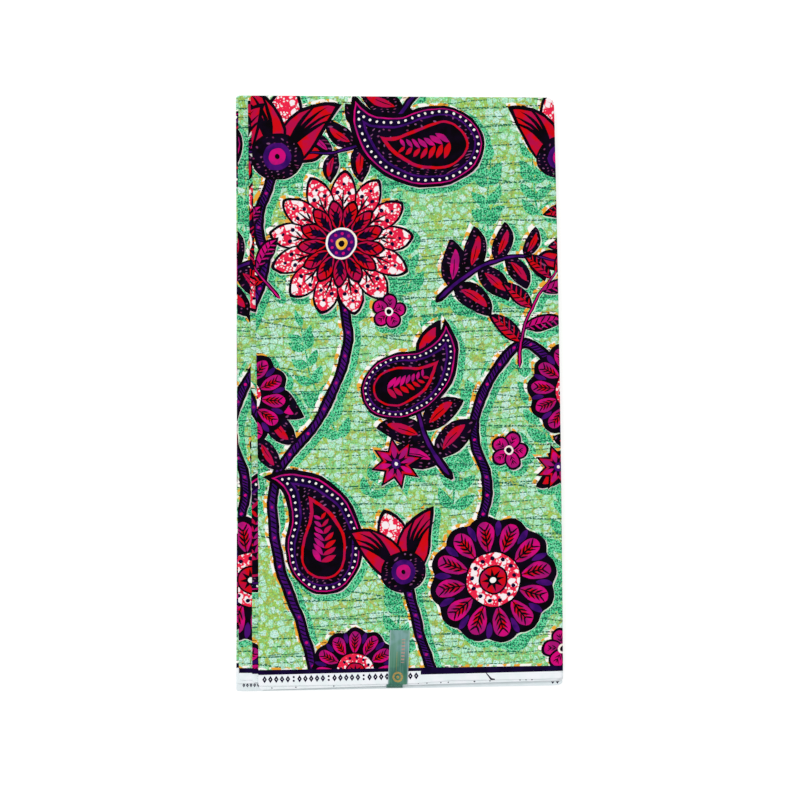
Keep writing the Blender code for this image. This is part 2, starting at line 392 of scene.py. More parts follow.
def dahlia():
    """A large open flower, 100 mm across, its outer petals in bubbled pink."""
    outer = [
        *rimmed("pink", 1.3, 36, 18.5, 0.8, 0.7, x=15),
        Patch(stroke([(20, 0), (28, 0.8), (37, 0)], 2.6, 0.6), "ink"),
        Patch(disc(1.5, 35, 4.0, 8), "navy"),
        Patch(disc(1.5, 35, -4.0, 8), "navy"),
        Patch(disc(1.1, 41, 0, 8), "navy"),
    ]
    outer += barbs((22, 27), 7.5, 1.4, 30)
    inner = [
        *rimmed("crimson", 1.1, 22, 11, 0.8, 0.7, x=9, body=False),
        Patch(blade(12, 4.6, 0.8, 0.7) + (11, 0), "navy"),
    ]
    inner += barbs((13, 17, 21), 6.5, 1.2, 32)
    return (
        ring(13, outer)
        + discs((22, "ink"))
        + ring(13, inner, 13.8)
        + discs((11, "white"), (9.6, "violet"))
        + ring(9, discs((1.1, "magenta", 8), x=7))
        + discs((4.2, "orange", 14), (2.2, "ink", 10))
    )


# %% Tulips and blossoms
def tulip():
    """A closed flower, 70 mm long, seen from the side on a seeded calyx."""
    back = rimmed("pink", 1.8, 58, 27, 0.8, 0.8, x=10, bend=8)
    wings = []
    for hand in (-1, 1):
        wing = rimmed("crimson", 2.0, 62, 27, 0.65, 0.95, bend=46 * hand)
        for lean in (-9, -1, 7, 14):
            vein = turned(blade(42, 2.8, 0.7, 1.0, bend=44 * hand), lean * hand)
            wing.append(Patch(vein + (12, 0), "ink"))
        wings += moved(wing, 8, 3 * hand, 14 * hand)
    calyx = rimmed("seeded", 1.4, 32, 36, 0.5, 0.5)
    return back + wings + calyx + discs((9.5, "violet"), (5.8, "magenta"), (1.8, "ink", 10), x=16)


def blossom():
    """A small flower of five round petals, 30 mm across."""
    petal = rimmed("magenta", 1.5, 15.5, 13, 0.6, 0.5)
    petal += [Patch(stroke([(4, 0), (11, 0)], 1.6, 0.5), "ink"), *barbs((5, 8), 4, 0.9, 34)]
    return ring(5, petal) + discs((3.6, "white", 12), (2.2, "ink", 10))


# %% Paisleys and stars
def paisley():
    """A bent drop, 100 mm long, with a beaded band round a leafy middle."""
    def drop(inset, dye, body=False):
        return Patch(blade(118, 60, 0.5, 1.15, bend=118, inset=inset, steps=32), dye, body)

    beads = drop(5.0, "white").outline
    steps = np.linalg.norm(np.diff(beads, axis=0, append=beads[:1]), axis=1)
    places = np.arange(0, steps.sum() - 3, 5.2)
    far = np.concatenate([[0], np.cumsum(steps)[:-1]])
    beads_x, beads_y = np.interp(places, far, beads[:, 0]), np.interp(places, far, beads[:, 1])
    patches = [drop(0, "ink", True), drop(2.3, "magenta"), drop(3.1, "navy")]
    patches += [Patch(disc(1.0, x, y, 7), "white") for x, y in zip(beads_x, beads_y)]
    patches += [drop(6.9, "violet"), drop(8.1, "seeded"), drop(12.6, "crimson"), drop(14.4, "ink")]
    places, headings = spine(118, 118, np.arange(24, 62, 5.6))
    for number, (place, heading) in enumerate(zip(places, headings)):
        for hand, dye in ((-1, "crimson"), (1, "magenta")):
            leaflet = blade(12.5 - number, 4.2 - 0.25 * number, 0.9, 0.9)
            patches.append(Patch(turned(leaflet, math.degrees(heading) + 50 * hand) + place, dye))
    return patches


def eight_point():
    """A star, 50 mm across."""
    ray = [Patch(blade(12.5, 4.6, 0.9, 0.7) + (4.6, 0), "magenta")]
    return (
        [Patch(star(25, 8, 0.56), "ink", True), Patch(star(21, 8, 0.54), "crimson")]
        + [Patch(star(17.5, 8, 0.5), "ink")]
        + ring(8, ray)
        + discs((4.4, "violet", 14), (1.7, "white", 8))
    )


# %% Leaves and sprays
def leaf(length=46, width=19, bend=22, light="crimson"):
    """A pointed leaf with one plain and one seeded half, and veins."""
    shape = dict(root=0.85, tip=0.95, bend=bend)
    patches = [Patch(blade(length, width, **shape), "ink", True)]
    patches.append(Patch(blade(length, width, inset=1.7, sides=(0, 0.9), **shape), light))
    patches.append(Patch(blade(length, width, inset=1.4, sides=(-1, -0.12), **shape), "seeded"))
    shares = np.array((0.14, 0.28, 0.42, 0.56, 0.70))
    places, headings = spine(length, bend, shares * length)
    for share, place, heading in zip(shares, places, headings):
        reach = width * 0.58 * (1 - 1.1 * abs(share - 0.42))
        for hand, dye in ((1, "ink"), (-1, light)):
            vein = turned(blade(reach, 1.7, 0.6, 1.0, steps=5), math.degrees(heading) + 50 * hand)
            patches.append(Patch(vein + place, dye))
    return patches


def spray():
    """A curved stem, 110 mm long, with six leaves."""
    stem = curve([(0, 0), (34, 6), (70, 2), (104, -10)])
    patches = [Patch(stroke(stem, 5.0, 2.4), "ink", True)]
    for place, hand in ((5, 1), (8, -1), (12, 1), (16, -1), (19, 1)):
        one = leaf(bend=26 * hand, light="crimson" if hand > 0 else "magenta")
        patches += moved(one, *stem[place], hand * 54, 1.02 - place * 0.012)
    patches += moved(leaf(bend=-14), 101, -9, -14, 0.95)
    patches.append(Patch(stroke(stem, 1.8, 0.9), "magenta"))
    return patches


# Where each lobe of the great leaf grows on its axis, to which side, and its size.
LOBES = (
    (4, 1, 1.0), (5, -1, 1.0), (9, 1, 0.96), (11, -1, 0.92),
    (15, 1, 0.8), (17, -1, 0.78), (21, 1, 0.62), (22, -1, 0.6),
)


def acanthus():
    """A great lobed leaf, 130 mm long, dark, with a bright flame in each lobe."""
    axis = curve([(0, 0), (32, 7), (66, 6), (98, -6), (122, -26)])
    patches = []
    for place, hand, size in LOBES:
        lobe = [
            *rimmed("seeded", 1.6, 50, 25, 0.7, 0.85, bend=34 * hand),
            Patch(blade(31, 8.6, 0.9, 0.8, bend=22 * hand) + (9, 0), "crimson" if place % 2 else "magenta"),
            Patch(stroke([(12, 0), (20, 0.5 * hand), (29, 2.5 * hand)], 1.5, 0.6), "ink"),
        ]
        patches += moved(lobe, *axis[place], 50 * hand - place * 1.2, size)
    patches += moved(rimmed("crimson", 3.4, 42, 20, 0.6, 0.9, bend=-20), 108, -14, -38)
    return patches + [Patch(stroke(axis, 9, 2.6), "ink", True), Patch(stroke(axis[1:], 3.6, 1.0), "violet")]


# %% Sprigs and vines
def sprig(pairs=8, step=17):
    """A tall plant of the ground, all in the stippled green."""
    stem = curve([(0, 0), (step * pairs * 0.5, 7), (step * pairs, -3)])
    patches = [Patch(stroke(stem, 2.4, 1.4), "jade")]
    for pair in range(pairs):
        share = (pair + 0.4) / pairs
        x, y = stem[int(share * (len(stem) - 1))]
        for hand in (-1, 1):
            one = turned(blade(27 - 8 * share, 12 - 2 * share, 0.7, 1.0, bend=-26 * hand), hand * 56)
            patches.append(Patch(one + (x, y), "jade"))
    return patches + [Patch(blade(20, 8, 0.7, 1.0) + stem[-1] - (3, 0), "jade")]


def vine(points, width=11.0):
    """A long dark stem: a violet core with a bead at every sixth place and slanted strokes between."""
    line = curve(points, 16)
    patches = [Patch(stroke(line, width), "ink", True), Patch(stroke(line, width * 0.46), "violet")]
    across = blade(width * 0.8, 1.5) - (width * 0.4, 0)
    for place, (spot, ahead) in enumerate(zip(line, line[1:])):
        heading = math.degrees(math.atan2(*(ahead - spot)[::-1]))
        if place % 6 == 0:
            patches.append(Patch(disc(1.5, *spot, points=9), "magenta"))
        else:
            patches.append(Patch(turned(across, heading + 52) + spot, "ink"))
    return patches


# %% [markdown]
# ## The layout
#
# Wax prints are drawn over a large repeat. A motif has its place on the cloth: how far along it, and how
# far up from the selvedge. The repeat of 340 mm is longer than a lap, so that the laps' edges show
# other parts of the design than the top does.

# %% Where each motif goes
REPEAT = 340.0

# Each motif's places: how far along, how far up, its turn in degrees, and its size.
LAYOUT = {
    sprig: (
        (150, 30, 82, 1.0), (20, 175, 95, 1.0), (205, 175, 78, 1.0), (300, 240, 96, 1.0),
        (160, 395, 99, 1.0), (45, 430, 80, 0.9), (290, 470, 88, 0.85), (120, 190, 60, 0.8),
        (270, 30, 100, 0.8), (90, 250, 110, 0.9), (215, 370, 75, 0.9), (328, 60, 92, 1.0),
        (130, 500, 84, 0.8), (252, 400, 95, 0.95), (336, 370, 84, 1.0), (188, 270, 92, 0.8),
    ),
    acanthus: ((204, 205, 112, 1.12), (188, 384, 30, 1.02), (16, 322, -100, 1.0), (170, 600, -140, 1.05)),
    dahlia: ((92, 446, 4, 1.46),),
    rosette: ((246, 102, 10, 1.3), (330, 292, 25, 1.0), (106, 12, 0, 0.9)),
    paisley: ((62, 94, 66, 1.32), (232, 560, -150, -1.38), (112, 300, -8, 1.12)),
    tulip: ((22, 512, 78, 1.5), (160, 92, 104, 1.3), (316, 506, 96, 1.35)),
    spray: ((272, 316, 74, 1.0), (30, 392, 120, 0.95)),
    eight_point: ((148, 222, 12, 1.1), (312, 214, 20, 1.0)),
    blossom: ((262, 232, 0, 1.3), (140, 376, 10, 1.2), (316, 30, 30, 1.4)),
}
VINES = (
    ((190, -4), (174, 40), (160, 96)),
    ((70, -6), (52, 60), (28, 130), (26, 210), (70, 270), (98, 340), (92, 400)),
    ((232, 150), (240, 200), (226, 250), (240, 300), (278, 340), (324, 300)),
    ((22, 516), (8, 470), (14, 420), (-16, 340)),
)
print(sum(map(len, LAYOUT.values())), "motifs and", len(VINES), "vines in a repeat of", REPEAT, "mm")

# %% [markdown]
# Wax printing leaves marks of its own. Dyes are printed one after another and never quite meet, so a
# sliver of white and orange blots shows at the upper left of a motif. At its lower right lies a thin worn
# line, and past it a stippled green shadow. Lines drawn by hand aren't quite smooth, so all of the design
# is shaken a little.

# %% The whole design
SLIVERS = (("sliver", -3.2, 2.8), ("worn", 0.8, -0.7))
SHADOW_REACH, SHADOW_SHIFT = 3.0, (4.2, -3.7)


def by_hand(points):
    """Shakes points by up to half a millimetre, neighbours alike."""
    x, y = points.T
    across = 0.45 * np.sin(y / 5.3 + 2 * np.sin(x / 23)) + 0.2 * np.sin(y / 1.9 + x / 2.7)
    up = 0.45 * np.sin(x / 4.9 + 2 * np.cos(y / 27)) + 0.2 * np.sin(x / 2.1 - y / 2.4)
    return points + np.stack([across, up], 1)


def drawn():
    """The design's patches over one repeat, those that lie under others first."""
    patches = [patch for points in VINES for patch in vine(points)]
    for draw, places in LAYOUT.items():
        for place in places:
            patches += moved(draw(), *place)
    patches = [Patch(anticlockwise(by_hand(p.outline)), p.dye, p.body) for p in patches]
    sprigs = [patch for patch in patches if patch.dye == "jade"]
    printed = [patch for patch in patches if patch.dye != "jade"]
    bodies = [patch.outline for patch in printed if patch.body]
    shadows = [Patch(grown(body, SHADOW_REACH) + SHADOW_SHIFT, "jade") for body in bodies]
    slivers = [Patch(by_hand(body + (x, y)), dye) for dye, x, y in SLIVERS for body in bodies]
    return sprigs + shadows + slivers + printed


DESIGN = drawn()
print("the design has", len(DESIGN), "outlines and", sum(len(p.outline) for p in DESIGN), "points")

# %% [markdown]
# ## Printing on a stretch of cloth
#
# A stretch shows its own run of the cloth, and a lap that runs back shows it the other way round. The
# design stops at a dark border, and beyond that the selvedge is white. Only what can be seen is drawn:
# the whole of the top and of the underside, and a band along the edges of the others.

# %% The cloth's own places, and what can be seen of it
PAST_EDGE, EDGE_BAND = 9, 9.0
SEEN_AT_LEFT = {"second_lap": 14.0, "third_lap": 22.0}


def on_cloth(stretch, flat):
    """The cloth's own coordinates of points: along it, and up from the selvedge."""
    x, y = flat.T
    return np.stack([stretch.start + stretch.way * (x + HALF_WIDTH), y - slanted(stretch.foot, x)], 1)


def off_cloth(stretch, cloth):
    """The opposite of on_cloth."""
    x = (cloth[:, 0] - stretch.start) * stretch.way - HALF_WIDTH
    return np.stack([x, cloth[:, 1] + slanted(stretch.foot, x)], 1)


def border_top(stretch, x):
    """How far above the foot edge the dark border ends at x."""
    return stretch.selvedge + slanted(stretch.border, x)


def band(stretch, high, last=HALF_WIDTH + PAST_EDGE, steps=24):
    """A band of the cloth along its foot edge, up to a height there that is a number or a function."""
    x = np.linspace(-HALF_WIDTH - PAST_EDGE, last, steps)
    foot = slanted(stretch.foot, x)
    upper = foot + (high(stretch, x) if callable(high) else high)
    return np.concatenate([np.stack([x, foot - PAST_EDGE], 1), np.stack([x, upper], 1)[::-1]])


def in_sight(stretch, outline):
    """Whether an outline reaches a part of the stretch that shows."""
    if stretch.node in ("top_panel", "bottom_panel"):
        return True
    low, high = outline.min(0), outline.max(0)
    left = bowed(stretch.left, low[1]) + SEEN_AT_LEFT.get(stretch.node, EDGE_BAND)
    right = bowed(stretch.right, high[1]) - EDGE_BAND
    return low[0] < left or high[0] > right or high[1] > stretch.head - EDGE_BAND


# %% Borders and marks
BORDER_SLIVER = 2.4
MARK_BAND, MARKS_UP, MARK_STEP = 3.7, 6.6, 5.9
MARKS_START, MARKS_END = -137.0, 21.0
TICK_AT = 92.0


def borders(stretch):
    """The dark border and the white selvedge. The foot lap's selvedge is painted greyer there, as painted
    shade where it lies lowest.
    """
    white = "tinted" if stretch.node == "foot_lap" else "cotton"
    return [Patch(band(stretch, border_top), "navy"), Patch(band(stretch, stretch.selvedge), white)]


def mark_row(stretch, first, last, up, size=1.0):
    """A row of plain lozenges, with a pair of dots in every sixth place."""
    lozenge = turned(star(3.7 * size, 2, 0.64), 90)
    patches = []
    for place, x in enumerate(np.arange(first, last, MARK_STEP * size)):
        middle = np.array((x, slanted(stretch.foot, x) + up))
        if place % 6 == 5:
            patches += [Patch(disc(1.15, *(middle + (0, y)), 8), "navy") for y in (-1.9, 1.9)]
        else:
            patches += [Patch(lozenge + middle, "navy"), Patch(lozenge * 0.24 + middle, "cotton")]
    return patches


def marks(stretch):
    """What is printed along a selvedge. The top panel's row stands on a taller white strip."""
    if stretch.node == "foot_lap":
        return mark_row(stretch, -158.5, -141, 6.2, 0.62) + mark_row(stretch, 155, 161, 4.6, 0.8)
    if stretch.node == "top_lap_under_layer":
        chance = random.Random(5)
        places = [chance.uniform(-138, 150) for _ in range(16)]
        return [Patch(disc(0.7, x, foot_edge(stretch, x) + 1.6, 7), "navy") for x in places]
    if stretch is not TOP:
        return []
    strip = band(stretch, stretch.selvedge + MARK_BAND, last=MARKS_END, steps=12)
    row = mark_row(stretch, MARKS_START, MARKS_END - 4, MARKS_UP)
    tick = np.array([(-6, 9), (0, 1.6), (4, 0.8)]) + (TICK_AT, slanted(stretch.foot, TICK_AT))
    return [Patch(strip, "cotton"), *row, Patch(stroke(tick, 2.0, 1.6), "navy")]


# %% All the patches of a stretch
def printed(stretch):
    """All the patches of one stretch, in the order in which they cover each other."""
    corners = np.array([(-HALF_WIDTH - 6, 0), (HALF_WIDTH + 6, 0)])
    low, high = np.sort(on_cloth(stretch, corners)[:, 0])
    patches = [Patch(band(stretch, lambda *at: border_top(*at) + BORDER_SLIVER), "sliver")]
    for patch in DESIGN:
        near, far = patch.outline[:, 0].min(), patch.outline[:, 0].max()
        for repeat in range(math.ceil((low - far) / REPEAT), math.floor((high - near) / REPEAT) + 1):
            outline = off_cloth(stretch, patch.outline + (repeat * REPEAT, 0))
            if in_sight(stretch, outline):
                patches.append(Patch(outline, patch.dye))
    return patches + borders(stretch) + marks(stretch)


# %% [markdown]
# ## Cutting the print into the cloth
#
# The print could be painted in the material alone, but thousands of outlines would make a huge node
# tree. Instead a Delaunay triangulation cuts every outline into the flat cloth, and each face then
# keeps the number of its dye. The edges of the print stay sharp at any distance, and the material only
# has to turn the number into a dyed, waxed and woven surface.

# %% The flat cloth's outline and inner points
WALL = 0.9
DYES = (
    "ground", "jade", "sliver", "worn", "ink", "seeded", "navy", "violet",
    "magenta", "crimson", "pink", "white", "orange", "cotton", "tinted",
)
NUMBER = {dye: number for number, dye in enumerate(DYES)}


def edges_of(stretch, inset):
    """Functions for the left and right edges at y, and for the foot and head edges at x."""
    past = ROLL_REACH if stretch is TOP else 0
    return (
        lambda y: bowed(stretch.left, y) + inset,
        lambda y: bowed(stretch.right, y) + past - inset,
        lambda x: foot_edge(stretch, x) + inset,
        lambda x: head_edge(stretch, x) + past - inset,
    )


# How far each corner rounds off, across and up, from the left foot corner anticlockwise.
CORNERS = ((2.0, 2.0), (8.0, 3.0), (8.0, 7.0), (3.5, 3.5))


def quarter(x, y, across, up, first):
    turn = np.radians(first + np.linspace(0, 90, 6))
    return np.stack([x + across * np.cos(turn), y + up * np.sin(turn)], 1)


def flat_outline(stretch, inset, spacing=5.0):
    """The flat cloth's outline, anticlockwise from its left foot corner."""
    left, right, foot, head = edges_of(stretch, inset)
    middles = []
    for (across, up), side, end in zip(CORNERS, (left, right, right, left), (foot, foot, head, head)):
        x = side(end(0)) + (across if side is left else -across)
        middles.append((x, end(x) + (up if end is foot else -up)))
    loop = []
    for number, (x, y) in enumerate(middles):
        next_x, next_y = middles[(number + 1) % 4]
        count = round(max(abs(next_x - x), abs(next_y - y)) / spacing)
        across, up = np.linspace(x, next_x, count)[1:-1], np.linspace(y, next_y, count)[1:-1]
        if number % 2:
            across = (left if number == 3 else right)(up)
        else:
            up = (head if number else foot)(across)
        loop += [quarter(x, y, *CORNERS[number], 180 + 90 * number), np.stack([across, up], 1)]
    return np.concatenate(loop)


def inner_points(stretch, loop, spacing, rows):
    """A grid over the stretch, and rows of points along its rim."""
    left, right, foot, head = edges_of(stretch, rows[-1] + spacing * 0.7)
    across, up = (np.arange(-half, half, spacing) for half in (HALF_WIDTH, HALF_LENGTH))
    x, y = (grid.ravel() for grid in np.meshgrid(across, up))
    inside = (x > left(y)) & (x < right(y)) & (y > foot(x)) & (y < head(x))
    inward = [loop - outward(loop) * row for row in rows]
    return np.concatenate([np.stack([x[inside], y[inside]], 1), *inward])


# %% Cutting and dyeing
TRIANGLES_INSIDE, SAME_POINT = 1, 1e-4


def cut(loop, patches, points):
    """Cuts a flat sheet along the patches' outlines: its points, triangles and each one's dye."""
    outlines = [loop, *(anticlockwise(patch.outline) for patch in patches)]
    faces, count = [], 0
    for outline in outlines:
        faces.append(list(range(count, count + len(outline))))
        count += len(outline)
    spots = [Vector(point) for point in np.concatenate([*outlines, points])]
    places, _, triangles, _, _, covers = delaunay_2d_cdt(
        spots, [], faces, TRIANGLES_INSIDE, SAME_POINT, True
    )
    kept = [k for k, under in enumerate(covers) if 0 in under]
    triangles = np.array([triangles[k] for k in kept])
    over = [max(covers[k]) for k in kept]
    dyes = np.array([NUMBER[patches[top - 1].dye] if top else 0 for top in over])
    used, triangles = np.unique(triangles, return_inverse=True)
    places = np.array([places[k][:] for k in used], float)
    triangles = triangles.reshape(-1, 3)
    a, b, c = (places[triangles[:, k]] for k in range(3))
    turned_over = (b[:, 0] - a[:, 0]) * (c[:, 1] - a[:, 1]) < (b[:, 1] - a[:, 1]) * (c[:, 0] - a[:, 0])
    triangles[turned_over] = triangles[turned_over][:, ::-1]
    return places, triangles, dyes


def rim_of(triangles):
    """The points round the rim of a sheet of triangles, in order, and the triangle at each."""
    ways = {}
    for number, (a, b, c) in enumerate(triangles.tolist()):
        ways[a, b] = ways[b, c] = ways[c, a] = number
    following = {a: b for a, b in ways if (b, a) not in ways}
    point = next(iter(following))
    loop, beside = [], []
    while len(loop) < len(following):
        loop.append(point)
        beside.append(ways[point, following[point]])
        point = following[point]
    return np.array(loop), np.array(beside)


# %% [markdown]
# The cut sheet is closed into a shell: the printed face, a plainer face a wall's thickness behind it,
# and a rim that turns round the edge as a fold does. The same dye runs round the rim.

# %% A closed shell of cloth
# How far from the rim rows of points lie: closer where the cloth is rolled, so that the roll is round.
ROLL_ROWS, FLAT_ROWS, BACK_ROWS = (0.6, 1.3, 2.1, 3.0, 4.0), (1.5, 4.0), (5.0,)
PRINT_SPACING, BACK_SPACING = 5.0, 12.0


def round_rim(stretch, edge, place, out):
    """Three rings of points that turn round the edge, from the printed face to the back."""
    away = laid(stretch, edge + outward(edge) * SHORT_STEP) - laid(stretch, edge)
    away /= np.linalg.norm(away, axis=1)[:, None]
    turns = np.radians((45, 90, 135))
    return [
        place - out * WALL / 2 * (1 - math.cos(turn)) + away * WALL / 2 * math.sin(turn) for turn in turns
    ]


def joined(rings):
    """Quads between rings of point numbers, each ring with the next."""
    quads = [
        np.stack([np.roll(upper, -1), upper, lower, np.roll(lower, -1)], 1)
        for upper, lower in zip(rings, rings[1:])
    ]
    return np.concatenate(quads)


def shell(name, stretch, below=False):
    """One stretch as a closed shell. below says that the print faces the floor."""
    loop = flat_outline(stretch, WALL / 2)
    rows, back_rows = (ROLL_ROWS, ROLL_ROWS) if stretch is TOP else (FLAT_ROWS, BACK_ROWS)
    flat, faces, dyes = cut(loop, printed(stretch), inner_points(stretch, loop, PRINT_SPACING, rows))
    rim, beside = rim_of(faces)
    edge = flat[rim]
    place, out = laid(stretch, flat), facing(stretch, flat)
    if below:
        place[:, 2] = 0.0
        out[:] = (0, 0, -1)
    rings = round_rim(stretch, edge, place[rim], out[rim])

    back_points = inner_points(stretch, loop, BACK_SPACING, back_rows)
    back_flat, back_faces, back_dyes = cut(edge, borders(stretch), back_points)
    back_rim, _ = rim_of(back_faces)
    start = np.argmin(np.linalg.norm(back_flat[back_rim] - edge[0], axis=1))
    back_rim = np.roll(back_rim, -start)
    back = laid(stretch, back_flat) - facing(stretch, back_flat) * WALL
    if below:
        back[:, 2] = WALL

    count, wide = len(flat), len(rim)
    first_back = count + 3 * wide
    between = [count + ring * wide + np.arange(wide) for ring in range(3)]
    quads = joined([rim, *between, first_back + back_rim])
    back_faces = back_faces[:, ::-1] + first_back
    if below:
        faces, quads, back_faces = faces[:, ::-1], quads[:, ::-1], back_faces[:, ::-1]

    points = np.concatenate([place, *rings, back]) * MM
    round_edge = [edge + outward(edge) * WALL / 2 * share for share in (0.5, 1, 1)]
    cloth = np.concatenate([flat, *round_edge, back_flat])
    all_dyes = np.concatenate([dyes, np.tile(dyes[beside], 4), back_dyes])
    return solid(name, points, [faces, quads, back_faces], all_dyes, on_cloth(stretch, cloth) * MM)


def solid(name, points, faces, dyes, cloth):
    """An object of those faces, with each one's dye and the cloth's own coordinates."""
    mesh = bpy.data.meshes.new(name)
    mesh.from_pydata(points.tolist(), [], [face for some in faces for face in some.tolist()])
    mesh.attributes.new("dye", "FLOAT", "FACE").data.foreach_set("value", (dyes + 0.5) / len(DYES))
    corners = np.zeros(len(mesh.loops), np.int32)
    mesh.loops.foreach_get("vertex_index", corners)
    mesh.uv_layers.new(name="cloth").uv.foreach_set("vector", cloth[corners].astype(np.float32).ravel())
    mesh.shade_smooth()
    mesh.validate()
    piece = bpy.data.objects.new(name, mesh)
    bpy.context.scene.collection.objects.link(piece)
    print(name, len(mesh.polygons), "faces")
    return piece


# %% The seven stretches that show
sheets = {}
for stretch in STRETCHES:
    name = "cloth_" + stretch.node
    sheets[stretch.node] = shell(name, stretch, below=stretch.node == "bottom_panel")

# %% [markdown]
# ## The hidden laps
#
# Between the bottom panel and the laps that show lie eleven more. Only their edges can be seen, so they
# are one block: two laps share a fold at the left and, one lap on, at the right, each lap has its
# centre fold at the head, and two selvedges lie in each lap at the foot. The block is built ring by
# ring, with each lap drawn in or pushed out a little on its own.

# %% A block of laps
HIDDEN = Stretch("inner_laps", 1.38, (-163.6, -164.0, -164.2), (155.0, 160.8, 163.8), 298.4,
                 (-297.2, -293.6), 9.0, (5.2, 5.2), 0, 1)
LAPS, LAP_PITCH, RINGS = 11, 0.795, 8
SIDE_BULGE, HEAD_BULGE, FOOT_BULGE = 0.8, 0.42, 0.3
# How far apart points and rings lie on the cloth: along its edge, from lap to lap, and up.
EDGE_STEP, LAP_SHIFT, LAP_START, LAP_RISE = 4.0, 170, 30, 12
FOLD_DYES = ("ground",) * 7 + ("jade",) * 2 + ("ink",) * 5 + ("navy", "magenta", "crimson", "crimson", "pink")


def bulge(height, first, laps, depth):
    """How far a stack of round folds draws in at a height."""
    swing = 2 * (((height - first) / laps) % 1) - 1
    return depth * (1 - math.sqrt(max(0, 1 - swing * swing)))


def lap_wander(lap, x, y):
    """How far a lap's edge lies inside the block's own, along the edge."""
    place = (x - y) / 60 + 1.9 * lap
    return 0.55 + 0.32 * np.sin(2.4 * lap + place) + 0.2 * np.sin(2.7 * place + lap * lap)


def hidden_block():
    loop = flat_outline(HIDDEN, 0.0, EDGE_STEP)
    out = outward(loop)
    x, y = loop.T
    left, right, head, foot = (np.maximum(out @ way, 0) ** 2 for way in ((-1, 0), (1, 0), (0, 1), (0, -1)))
    points, cloth = [], []
    far = np.cumsum(np.linalg.norm(loop - np.roll(loop, 1, 0), axis=1))
    for level in range(LAPS * RINGS):
        height = (level + 0.5) / RINGS
        lap = int(height)
        inset = (
            left * (bulge(height, 0, 2, SIDE_BULGE) + lap_wander(lap // 2, x, y))
            + right * (bulge(height, 1, 2, SIDE_BULGE) + lap_wander((lap + 1) // 2, x, y))
            + head * (bulge(height, 0, 1, HEAD_BULGE) + lap_wander(lap, x, y))
            + foot * (bulge(height, 0, 0.5, FOOT_BULGE) + lap_wander(int(2 * height), x, y))
        )
        ring = loop - out * inset[:, None]
        points.append(np.column_stack([ring, np.full(len(ring), HIDDEN.top + height * LAP_PITCH)]))
        up = np.full(len(ring), LAP_START + height * LAP_RISE)
        cloth.append(np.column_stack([far + LAP_SHIFT * lap, up]))
    count = len(loop)
    around = np.arange(count)
    ahead = np.roll(around, -1)
    one_ring = np.column_stack([around, ahead, ahead + count, around + count])
    quads = [one_ring + level * count for level in range(LAPS * RINGS - 1)]
    ends = [np.array([around[::-1]]), np.array([around + (LAPS * RINGS - 1) * count])]
    dyes = [lap_dyes(lap, loop, out) for lap in range(LAPS) for _ in range(RINGS)][:-1]
    return solid(
        "cloth_inner_laps",
        np.concatenate(points) * MM,
        [np.concatenate(quads), *ends],
        np.concatenate([*dyes, [0, 0]]),
        np.concatenate(cloth) * MM,
    )


# %% The dyes on the hidden laps' edges
RUN_OF_DYE = (5, 38)


def lap_dyes(lap, loop, out):
    """The dyes along one lap's edge: runs of the print, and white by the selvedges."""
    chance = random.Random(100 + lap)
    dyes, left = [], 0.0
    for (x, y), away in zip(loop, out):
        if left <= 0:
            dye, left = chance.choice(FOLD_DYES), chance.uniform(*RUN_OF_DYE)
        left -= EDGE_STEP
        up = y - foot_edge(HIDDEN, x)
        white = up < HIDDEN.selvedge or away[1] < -0.7
        dyes.append(NUMBER["cotton" if white else "navy" if up < border_top(HIDDEN, x) else dye])
    return np.array(dyes)


block = hidden_block()

# %% [markdown]
# ## The label
#
# A strip of satin foil is stuck on the last lap, goes down over its edge and the next, and ends on the
# lap that reaches furthest. It was folded at a slant, so its end lies a little to the left. It starts as
# a grid, and its rows are then brought onto the path that the strip follows.

# %% The foil strip
LABEL_WIDTH, LABEL_HEAD, LABEL_END, LABEL_SLANT = 20.0, -239.0, -298.2, 0.042
END_WIDTH, END_SHIFT = 17.2, -3.1
BEND, FOOT_BEND, CLEAR_OF_EDGE = 1.1, 0.9, 0.5
FOIL_LIFT, FOIL_WALL = 0.62, 0.3
# The strip has rows of points as far as FLAT_END, and follows the edges as they are at x = FALLS_AT.
FLAT_END, FALLS_AT = -292, -14


def label_path():
    """The strip's outer face from its head, down over two edges, to its end: pairs of y and height."""
    under = [BY_NODE[node] for node in ("top_panel", "top_lap_under_layer", "foot_lap")]
    path = [(y, under[0].top + FOIL_LIFT) for y in np.linspace(LABEL_HEAD, FLAT_END, 17)]
    turns = np.radians(np.linspace(0, 90, 5))
    for stretch, following in zip(under, under[1:]):
        high, low = stretch.top + FOIL_LIFT, following.top + FOIL_LIFT
        y = foot_edge(stretch, FALLS_AT) - CLEAR_OF_EDGE
        bend = min(BEND, (high - low) * 0.55)
        end_bend = min(FOOT_BEND, (high - low) * 0.45)
        path += [(y + bend * (1 - math.sin(turn)), high - bend * (1 - math.cos(turn))) for turn in turns]
        path += [(y - end_bend * (1 - math.sin(turn)), low + end_bend * (1 - math.cos(turn)))
                 for turn in turns[::-1]]
    return path + [(LABEL_END, under[-1].top + FOIL_LIFT)]


